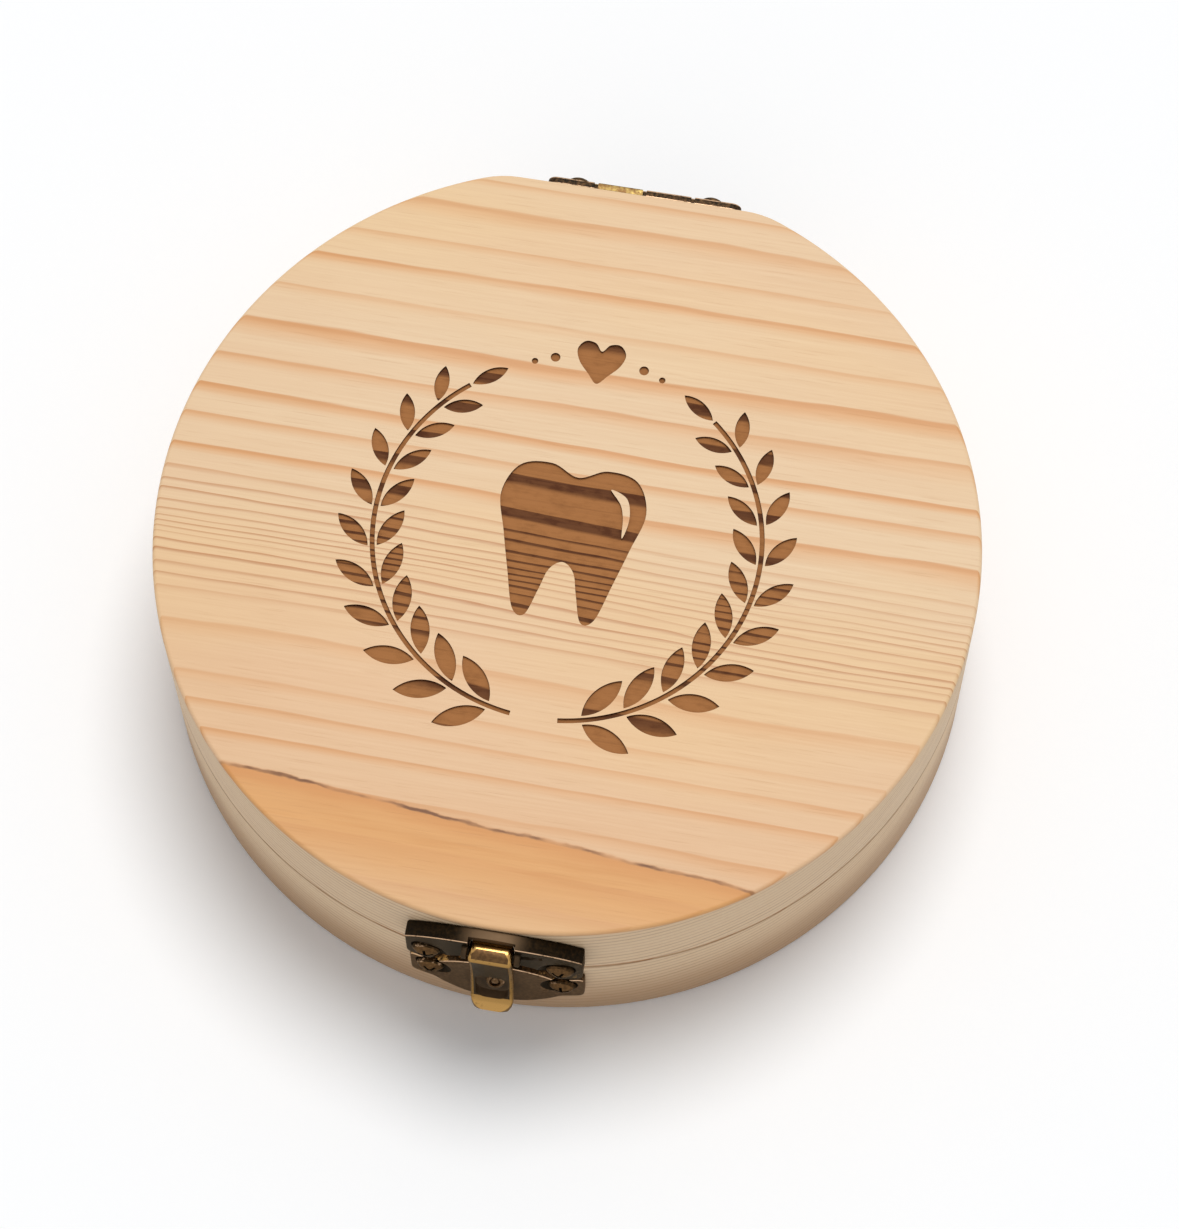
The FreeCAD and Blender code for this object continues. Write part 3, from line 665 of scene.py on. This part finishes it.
def wreathLines():
    lines = []
    reach = burn["wreath"]
    inner = reach - burn["stem"] / 2
    outer = reach + burn["stem"] / 2
    span = (burn["stemTo"] - burn["stemFrom"]) / burn["stemSteps"]
    for side in (1, -1):
        sweep = [-90 + side * (burn["stemFrom"] + span * k) for k in range(burn["stemSteps"] + 1)]
        stem = [onCircle(outer, degrees) for degrees in sweep]
        stem += [onCircle(inner, degrees) for degrees in reversed(sweep)]
        lines.append(stem)
        for place in range(burn["leaves"]):
            share = place / (burn["leaves"] - 1)
            leaf = leafLine(burn["leafLong"] + (burn["leafShort"] - burn["leafLong"]) * share)
            around = -90 + side * (burn["leafFrom"] + burn["leafPitch"] * place)
            along = around + side * 90
            for lean, out in ((burn["leafLean"], -1), (-burn["leafLean"], 1)):
                stalk = onCircle(reach + out * (burn["stem"] / 2 + burn["leafGap"]), around)
                lines.append(moved(leaf, stalk, along + side * lean))
        tip = -90 + side * (burn["stemTo"] + burn["tipGap"])
        leaf = leafLine(burn["leafShort"])
        lines.append(moved(leaf, onCircle(reach, tip), tip + side * burn["tipTurn"]))
    return lines


def dot(x, y, radius):
    rim = [onCircle(radius, 18 * k) for k in range(20)]
    return [(x + across, y + up) for across, up in rim]


def makeLid():
    piece = turnedBlank("boxLid", box["lidLow"], box["top"], box["seamEdge"], box["outerEdge"])
    painted(piece, finishes["lid"])
    depth = box["recessTop"] - box["lidLow"] + 1
    middle = (0, 0, box["recessTop"] - depth / 2)
    cut(piece, rod("lidHollow", box["hollow"], depth, middle, sides=box["hollowSides"]))
    lines = wreathLines()
    lines.append(smoothLine(mirrored(burn["tooth"])))
    lines.append(smoothLine(burn["shine"]))
    lines.append(moved(smoothLine(mirrored(burn["heart"])), (0, burn["heartRise"]), 0))
    for x, y, radius in burn["dots"]:
        lines.append(dot(x, y, radius))
        lines.append(dot(-x, y, radius))
    tool = burnTool("lidBurn", lines)
    painted(tool, finishes["burnFloor"], finishes["burnEdgeCharAndShade"])
    # the walls take the darker finish, char with painted shade, the floors the lighter one
    for face in tool.data.polygons:
        face.material_index = 0 if abs(face.normal.z) > 0.5 else 1
    cut(piece, tool)
    settled(piece, "lid", "lid")


makeLid()
print("lid turned and burnt")

# the swing clasp
clasp = {
    "half": 10.6, "corner": 0.8, "earEnd": 9.8, "cusp": 1.0, "inside": 50.05, "rim": 0.25,
    "slice": 0.55, "step": 0.3, "toolFront": -60.0, "toolBack": -45.0,
    "screwX": 8.0, "screwSeat": 1.95, "seatDepth": 10.0, "sinkReach": 4.0,
    "pin": 0.6, "pinHalf": 3.5, "pinY": -52.1, "pinZ": 26.7, "bore": 0.64, "boreLength": 12.0,
    "slotHalf": 2.8, "slotTop": 28.25, "headRoom": -51.2,
    "lug": 1.0, "lugThick": 0.7, "lugRoot": -51.0, "lugEdge": 0.2,
    "nub": 1.25, "nubY": -50.8, "nubZ": 13.0, "nubSink": 0.1,
}
lidPlate = {
    "thick": 2.0, "foot": 18.9, "arch": 7.6, "archRise": 5.32, "crownFoot": 24.73, "crown": 14.16,
    "screwZ": 22.5, "screwFace": 51.145,
}
basePlate = {
    "thick": 1.1, "head": 15.3, "headArch": 7.0, "headRise": 3.57,
    "foot": 9.0, "arch": 7.8, "archRise": 3.276, "screwZ": 13.5, "screwFace": 50.233,
}


def cusped(half, rise):
    # a small round joins an ear to an arch: its x on the ear, its x and height on the arch,
    # and the arch's radius
    radius = (half ** 2 + rise ** 2) / (2 * rise)
    depth = radius - rise
    share = radius / (radius + clasp["cusp"])
    earX = math.sqrt((radius + clasp["cusp"]) ** 2 - (depth + clasp["cusp"]) ** 2)
    return earX, earX * share, (depth + clasp["cusp"]) * share - depth, radius


def makePlate(name, plate, corners, front, edge):
    # stamped flat with a rounded rim, then wrapped round the wall; its up-facing edge has a
    # finish of its own
    piece = stamped(name, [outlinePoints(corners, clasp["step"])], plate["thick"], clasp["rim"])
    placed(piece, (0, -plate["thick"] / 2, 0), (math.pi / 2, 0, 0))
    steps = int(clasp["half"] / clasp["slice"])
    sliced(piece, "X", [clasp["slice"] * k for k in range(-steps, steps + 1)])
    painted(piece, front, finishes["plateRim"], edge)
    for face in piece.data.polygons:
        face.material_index = 0
        if face.normal.z > 0.2:
            onRim = -0.95 < face.normal.y < -0.3
            face.material_index = 1 if onRim else 2
    for vertex in piece.data.vertices:
        reach = clasp["inside"] * mm - vertex.co.y
        vertex.co.y = -math.sqrt(reach ** 2 - vertex.co.x ** 2)
    sinkOut = clasp["sinkReach"] / 2 - clasp["screwSeat"]
    for x in (-clasp["screwX"], clasp["screwX"]):
        only()
        bpy.ops.mesh.primitive_cone_add(
            vertices=40, radius1=0, radius2=clasp["sinkReach"] * mm, depth=clasp["sinkReach"] * mm,
            location=(x * mm, -(plate["screwFace"] + sinkOut) * mm, plate["screwZ"] * mm),
            rotation=(math.pi / 2, 0, 0))
        cut(piece, named("sinkTool"), finishes["plateEdge"])
        spot = (x, -plate["screwFace"] - clasp["seatDepth"] / 2, plate["screwZ"])
        seat = rod("seatTool", clasp["screwSeat"], clasp["seatDepth"], spot, "Y", 40)
        cut(piece, seat, finishes["plateEdge"])
    return piece


def makeClaspPlate():
    half = clasp["half"]
    corner = clasp["corner"]
    end = clasp["earEnd"]
    foot = lidPlate["foot"]
    crownFoot = lidPlate["crownFoot"]
    earX, archX, step, radius = cusped(lidPlate["arch"], lidPlate["archRise"])
    corners = [(-end, foot), (-earX, foot, clasp["cusp"], 1), (-archX, foot + step, radius, -1),
               (archX, foot + step, clasp["cusp"], 1), (earX, foot), (end, foot, corner, 1),
               (half, foot + corner), (half, crownFoot, lidPlate["crown"], 1), (-half, crownFoot),
               (-half, foot + corner, corner, 1)]
    dark = finishes["plateEdge"]
    piece = makePlate("claspPlate", lidPlate, corners, finishes["plate"], dark)
    wide = clasp["slotHalf"]
    slot = block("slotTool", (-wide, clasp["toolFront"], foot - 2),
                 (wide, clasp["toolBack"], clasp["slotTop"]))
    cut(piece, slot, dark)
    # above the slot the crown is cut back, so that the barrel shows in front of it
    room = block("headRoomTool", (-wide, clasp["toolFront"], clasp["slotTop"] - 1),
                 (wide, clasp["headRoom"], box["top"] + 1))
    cut(piece, room, dark)
    thin = clasp["lugThick"] / 2
    pinY = clasp["pinY"]
    pinZ = clasp["pinZ"]
    for side in (1, -1):
        x = side * (wide + thin)
        root = block("claspLugRoot", (x - thin, pinY, pinZ - clasp["lug"]),
                     (x + thin, clasp["lugRoot"], pinZ + clasp["lug"]))
        welded(piece, root, dark)
        lug = rod("claspLug", clasp["lug"], clasp["lugThick"], (x, pinY, pinZ), "X", 40)
        eased(lug, clasp["lugEdge"], 3, acrossX)
        welded(piece, lug, dark)
    bore = rod("boreTool", clasp["bore"], clasp["boreLength"], (0, pinY, pinZ), "X", 32)
    cut(piece, bore, finishes["plate"])
    settled(piece, "lid", "clasp_plate")


def makeCatchPlate():
    half = clasp["half"]
    corner = clasp["corner"]
    cusp = clasp["cusp"]
    end = clasp["earEnd"]
    foot = basePlate["foot"]
    head = basePlate["head"]
    earX, archX, step, radius = cusped(basePlate["arch"], basePlate["archRise"])
    headEarX, headArchX, headStep, headRadius = cusped(basePlate["headArch"], basePlate["headRise"])
    corners = [(-end, foot), (-earX, foot, cusp, -1), (-archX, foot - step, radius, 1),
               (archX, foot - step, cusp, -1), (earX, foot), (end, foot, corner, 1),
               (half, foot + corner), (half, head - corner, corner, 1), (end, head),
               (headEarX, head, cusp, -1), (headArchX, head + headStep, headRadius, 1),
               (-headArchX, head + headStep, cusp, -1), (-headEarX, head), (-end, head, corner, 1),
               (-half, head - corner), (-half, foot + corner, corner, 1)]
    piece = makePlate("catchPlate", basePlate, corners, finishes["catch"], finishes["catchEdge"])
    only()
    bpy.ops.mesh.primitive_uv_sphere_add(segments=40, ring_count=24, radius=clasp["nub"] * mm,
                                         location=(0, clasp["nubY"] * mm, clasp["nubZ"] * mm))
    nub = named("catchNub")
    sliced(nub, "Y", [clasp["nubY"] + clasp["nubSink"]], clear=True)
    welded(piece, nub, finishes["nub"])
    settled(piece, "base", "catch_plate")


makeClaspPlate()
makeCatchPlate()
print("clasp plates stamped and wrapped")

hasp = {
    "width": 5.2, "barrel": 1.35, "thick": 1.0, "curve": 36.0, "rim": 0.42, "step": 0.2,
    "lip": 2.4, "lipStartOut": 3.5, "lipStartDrop": 12.3, "lipOut": 4.8, "lipDrop": 14.1,
    "windowHalf": 2.0, "windowTop": 20.2, "windowFoot": 14.0, "windowCorner": 1.3,
    "corner": 1.1, "lipCorner": 1.9, "spare": 0.02, "sideSpare": 0.05,
    # where its gold rubbed edges and the painted highlights on its head are
    "headDrop": 0.1, "headEdge": 0.5, "headBack": -0.05, "lipRise": 0.3,
}


def roundPanel(name, low, high, corner, test):
    # a block whose edges that the test takes are rounded
    panel = block(name, low, high)
    eased(panel, corner, 6, test)
    return panel


def makeHasp():
    # drawn from the side as (out from the wall, height), stamped across and given its window
    pinOut = -clasp["pinY"] - box["radius"]
    pinZ = clasp["pinZ"]
    barrel = hasp["barrel"]
    neck = barrel - hasp["thick"]
    startZ = pinZ - hasp["lipStartDrop"]
    endZ = pinZ - hasp["lipDrop"]
    tipZ = endZ - math.sqrt(3) / 2 * hasp["thick"]
    corners = [(pinOut + barrel, pinZ, hasp["curve"], 1),
               (hasp["lipStartOut"], startZ, hasp["lip"], 1),
               (hasp["lipOut"], endZ),
               (hasp["lipOut"] - hasp["thick"] / 2, tipZ, hasp["lip"] + hasp["thick"], -1),
               (hasp["lipStartOut"] - hasp["thick"], startZ, hasp["curve"] + hasp["thick"], -1),
               (pinOut + neck, pinZ - math.sqrt(barrel ** 2 - neck ** 2), barrel, -1),
               (pinOut - barrel, pinZ, barrel, -1),
               (pinOut, pinZ + barrel, barrel, -1)]
    piece = stamped("claspHasp", [outlinePoints(corners, hasp["step"])], hasp["width"], hasp["rim"], 3)
    # the drawing's x is out and its y is up, so it is turned upright and then to face the front
    only(piece)
    piece.matrix_world = Matrix(((0, 0, -1, 0), (-1, 0, 0, -box["radius"] * mm),
                                 (0, 1, 0, 0), (0, 0, 0, 1)))
    named("claspHasp")
    painted(piece, finishes["hasp"], finishes["haspTongue"], finishes["haspRim"])
    flatHalf = hasp["width"] / 2 - hasp["rim"]
    for face in piece.data.polygons:
        centre = face.center / mm
        onHead = centre.z > pinZ - hasp["headDrop"] and face.normal.z > -0.05
        # the crease at the head's front and the ridge behind it are painted highlights; the sides and
        # the lip are rubbed gold
        crease = onHead and face.normal.y < -0.8 and face.normal.z < hasp["headEdge"]
        ridge = onHead and face.normal.y > hasp["headBack"]
        onLip = centre.z < hasp["windowFoot"] + hasp["lipRise"]
        if abs(centre.x) > flatHalf or onLip or crease or ridge:
            face.material_index = 2
        else:
            face.material_index = 0 if centre.z > pinZ else 1
    toolFront = clasp["toolFront"]
    toolBack = clasp["toolBack"]
    window = roundPanel("windowTool", (-hasp["windowHalf"], toolFront, hasp["windowFoot"]),
                        (hasp["windowHalf"], toolBack, hasp["windowTop"]), hasp["windowCorner"], alongY)
    cut(piece, window, finishes["plateEdge"])
    # kept inside two panels, which round its corners as seen from the front and from above
    wide = hasp["width"] / 2 + hasp["sideSpare"]
    low = tipZ - hasp["spare"]
    high = pinZ + barrel + hasp["spare"]
    front = -box["radius"] - hasp["lipOut"] - hasp["spare"]
    panel = roundPanel("haspPanel", (-wide, toolFront, low), (wide, toolBack, high),
                       hasp["corner"], alongY)
    kept(piece, panel, finishes["haspRim"])
    plan = roundPanel("lipPanel", (-wide, front, low - 1), (wide, toolBack, high + 1),
                      hasp["lipCorner"], lambda a, b: abs(a.z - b.z) > 1 and a.y < -box["radius"])
    kept(piece, plan, finishes["haspRim"])
    eye = rod("eyeTool", clasp["bore"], clasp["boreLength"], (0, clasp["pinY"], pinZ), "X", 32)
    cut(piece, eye, finishes["hasp"])
    settled(piece, "hasp", "clasp_hasp")


makeHasp()


pinRound = 0.45  # the share of its radius by which a pin's ends are rounded


def makePin(name, radius, low, high, y, z, body, node, finish):
    piece = rod(name, radius, high - low, ((low + high) / 2, y, z), "X", 40)
    eased(piece, radius * pinRound, 4, acrossX)
    painted(piece, finish)
    settled(piece, body, node)


makePin("claspPin", clasp["pin"], -clasp["pinHalf"], clasp["pinHalf"], clasp["pinY"], clasp["pinZ"],
        "lid", "clasp_pin", finishes["plate"])
print("hasp bent and hung")

# the hinge
hinge = {
    "width": 24.4, "offset": 1.5, "height": 12.4, "thick": 1.0, "corner": 1.2, "rim": 0.18,
    "notch": 0.45, "notchDeep": 0.35, "foot": 0.3, "step": 0.2,
    "knuckle": 1.8, "gap": 0.3, "axisY": 49.35, "pin": 0.9, "bore": 0.94, "boreLength": 40.0,
    "screwSpread": 8.4, "screwRise": 10.3,
}


def makeLeaf(name, sign, own, other, body, node):
    half = hinge["width"] / 2
    pitch = hinge["width"] / 4
    top = hinge["height"]
    corners = [(-half, hinge["foot"]), (half, hinge["foot"]),
               (half, top - hinge["corner"], hinge["corner"], 1), (half - hinge["corner"], top)]
    for place in (1, 0, -1):
        middle = place * pitch
        left = middle - hinge["notch"] / 2
        right = middle + hinge["notch"] / 2
        floor = top - hinge["notchDeep"]
        corners += [(right, top), (right, floor), (left, floor), (left, top)]
    corners += [(-half + hinge["corner"], top, hinge["corner"], 1), (-half, top - hinge["corner"])]
    points = [(x, y * sign) for x, y in outlinePoints(corners, hinge["step"])]
    piece = stamped(name, [points], hinge["thick"], hinge["rim"])
    middle = box["flat"] + hinge["thick"] / 2
    placed(piece, (hinge["offset"], middle, box["seam"]), (math.pi / 2, 0, 0))
    painted(piece, finishes["hinge"], finishes["plateRim"], finishes["hingeHighlight"])
    start = hinge["offset"] - half
    for face in piece.data.polygons:
        segment = int((face.center.x / mm - start) / pitch)
        face.material_index = 1 if 0.05 < abs(face.normal.y) < 0.95 else 0
        # painted highlight: the up-facing faces of the second segment
        if face.normal.z * sign > 0.3 and segment == 1:
            face.material_index = 2
    for place in other:
        spot = (start + (place + 0.5) * pitch, hinge["axisY"], box["seam"])
        room = rod("clearTool", hinge["knuckle"] + hinge["gap"], pitch + hinge["gap"], spot, "X", 64)
        cut(piece, room, finishes["hinge"])
    for place in own:
        spot = (start + (place + 0.5) * pitch, hinge["axisY"], box["seam"])
        roll = rod("knuckle", hinge["knuckle"], pitch - hinge["gap"], spot, "X", 64)
        eased(roll, hinge["rim"], 3, acrossX)
        welded(piece, roll, finishes["hinge"])
    spot = (hinge["offset"], hinge["axisY"], box["seam"])
    bore = rod("boreTool", hinge["bore"], hinge["boreLength"], spot, "X", 40)
    cut(piece, bore, finishes["hinge"])
    settled(piece, body, node)


makeLeaf("hingeBaseLeaf", -1, (1, 3), (0, 2), "base", "hinge_base_leaf")
makeLeaf("hingeLidLeaf", 1, (0, 2), (1, 3), "lid", "hinge_lid_leaf")
makePin("hingePin", hinge["pin"], hinge["offset"] - hinge["width"] / 2,
        hinge["offset"] + hinge["width"] / 2, hinge["axisY"], box["seam"],
        "base", "hinge_pin", finishes["hinge"])
print("hinge rolled and pinned")

# wood screws with domed heads
screw = {
    "head": 1.65, "rim": 0.35, "height": 1.1, "domeSteps": 6, "domeTurn": 14,
    "shank": 0.8, "length": 6.0, "point": 1.6, "pointShare": 0.06,
    "cross": 0.36, "crossWide": 1.9, "crossDeep": 0.55,
    "brightUp": 0.15, "brightIn": 0.3,   # the rubbed rim of its head
}


def makeScrew():
    # head up along +Z, its seat at the origin
    piece = rod("screwMaster", screw["head"], screw["rim"], (0, 0, screw["rim"] / 2), sides=48)
    rise = screw["height"] - screw["rim"]
    radius = (screw["head"] ** 2 + rise ** 2) / (2 * rise)
    picked(piece, "FACE", lambda centre, normal: normal.z > 0.9)
    last = (screw["head"], 0.0)
    for part in range(1, screw["domeSteps"] + 1):
        reach = screw["head"] * math.cos(math.radians(screw["domeTurn"] * part))
        height = math.sqrt(radius ** 2 - reach ** 2) - (radius - rise)
        lift = (0, 0, (height - last[1]) * mm)
        bpy.ops.mesh.extrude_region_move(TRANSFORM_OT_translate={"value": lift})
        share = reach / last[0]
        bpy.ops.transform.resize(value=(share, share, 1))
        last = (reach, height)
    done()
    picked(piece, "FACE", lambda centre, normal: normal.z < -0.9)
    bpy.ops.mesh.inset(thickness=(screw["head"] - screw["shank"]) * mm)
    straight = screw["length"] - screw["point"]
    for length, share in ((straight, 1.0), (screw["point"], screw["pointShare"])):
        bpy.ops.mesh.extrude_region_move(TRANSFORM_OT_translate={"value": (0, 0, -length * mm)})
        bpy.ops.transform.resize(value=(share, share, 1))
    done()
    painted(piece, finishes["screw"], finishes["screwRim"])
    for face in piece.data.polygons:
        centre = face.center / mm
        onRim = 0 < centre.z < screw["rim"] + screw["brightUp"]
        face.material_index = int(onRim and centre.xy.length > screw["head"] - screw["brightIn"])
    wide = screw["crossWide"] / 2
    thin = screw["cross"] / 2
    low = screw["height"] - screw["crossDeep"]
    for x, y in ((wide, thin), (thin, wide)):
        tool = block("crossTool", (-x, -y, low), (x, y, 3))
        cut(piece, tool, finishes["plate"])
    return piece


master = makeScrew()
turns = {"hinge_lid": 20, "hinge_base": 50, "clasp_lid": 35, "clasp_base": 70}
for half, sign, plate in (("lid", 1, lidPlate), ("base", -1, basePlate)):
    for side, way in (("left", -1), ("right", 1)):
        hingeSpot = (hinge["offset"] + way * hinge["screwSpread"], box["flat"] + hinge["thick"],
                     box["seam"] + sign * hinge["screwRise"])
        claspSpot = (way * clasp["screwX"], -plate["screwFace"], plate["screwZ"])
        for place, spot, tilt in (("hinge", hingeSpot, -math.pi / 2), ("clasp", claspSpot, math.pi / 2)):
            piece = copied(master, f"{place}{half.title()}Screw{side.title()}")
            placed(piece, (0, 0, 0), (0, 0, math.radians(turns[f"{place}_{half}"] + 25 * way)))
            placed(piece, spot, (tilt, 0, 0))
            settled(piece, half, f"{place}_{half}_screw_{side}", 30)
bpy.data.objects.remove(master)
print("screws driven")

# studio: white floor, one soft lamp and the camera
studio = {
    "floor": 3000.0, "floorDrop": 0.05, "white": (1.03, 1.045, 1.065, 1), "bounce": 0.84,
    "ambient": 0.46, "lamp": (60.0, 360.0, 1050.0), "lampSpread": 30.0, "lampPower": 1.66,
    "lampColour": (1.0, 0.99, 0.975), "lens": 125.96, "sensor": 36.0, "nearest": 10.0,
    "eye": (38.308, -196.256, 508.109), "aim": (2.208, 2.385, 0.0), "roll": -0.6,
}


def makeFloor():
    only()
    bpy.ops.mesh.primitive_plane_add(size=studio["floor"] * mm,
                                     location=(0, 0, -studio["floorDrop"] * mm))
    floor = named("studioFloor")
    finish = bpy.data.materials.new("studioWhite")
    finish.use_nodes = True
    tree = finish.node_tree
    flow = Wire(tree)
    shader = tree.nodes["Principled BSDF"]
    bounce = studio["bounce"]
    feed(shader, Base_Color=(bounce, bounce, bounce, 1), Roughness=0.9, Specular_IOR_Level=0.0)
    seen = flow.node("LightPath", out="Is Camera Ray")
    white = flow.node("BsdfDiffuse", None, {"Color": studio["white"]})
    mixed = flow.node("MixShader", None, {0: seen, 1: Wire(tree, shader.outputs[0]), 2: white})
    tree.links.new(mixed.socket, tree.nodes["Material Output"].inputs["Surface"])
    painted(floor, finish)


def makeSky():
    world = bpy.data.worlds.new("studioSky")
    world.use_nodes = True
    bpy.context.scene.world = world
    tree = world.node_tree
    flow = Wire(tree)
    kinds = ("Camera", "Glossy", "Transmission")
    paths = [flow.node("LightPath", out=f"Is {kind} Ray") for kind in kinds]
    seen = flow.sum("MAXIMUM", flow.sum("MAXIMUM", paths[0], paths[1]), paths[2])
    strength = seen * (1.0 - studio["ambient"]) + studio["ambient"]
    tree.links.new(strength.socket, tree.nodes["Background"].inputs["Strength"])
    tree.nodes["Background"].inputs["Color"].default_value = (1.0, 1.0, 1.0, 1)


def makeLamp():
    # a wide far-off softbox, so that the floor is lit evenly to its end
    only()
    spot = Vector(studio["lamp"]) * mm
    bpy.ops.object.light_add(type="SUN", location=spot)
    lamp = bpy.context.object
    lamp.name = "keyLamp"
    lamp.data.angle = math.radians(studio["lampSpread"])
    lamp.data.energy = studio["lampPower"]
    lamp.data.color = studio["lampColour"]
    lamp.rotation_euler = (-spot).to_track_quat("-Z", "Y").to_euler()


def makeCamera():
    only()
    eye = Vector(studio["eye"]) * mm
    aim = Vector(studio["aim"]) * mm
    roll = Quaternion((0, 0, 1), math.radians(studio["roll"]))
    facing = (aim - eye).to_track_quat("-Z", "Y") @ roll
    bpy.ops.object.camera_add(location=eye, rotation=facing.to_euler())
    camera = bpy.context.object
    camera.data.lens = studio["lens"]
    camera.data.sensor_width = studio["sensor"]
    camera.data.clip_start = studio["nearest"] * mm
    bpy.context.scene.camera = camera


makeFloor()
makeSky()
makeLamp()
makeCamera()
bpy.context.scene.view_settings.view_transform = "Standard"
print("studio lit")

bpy.context.view_layer.update()
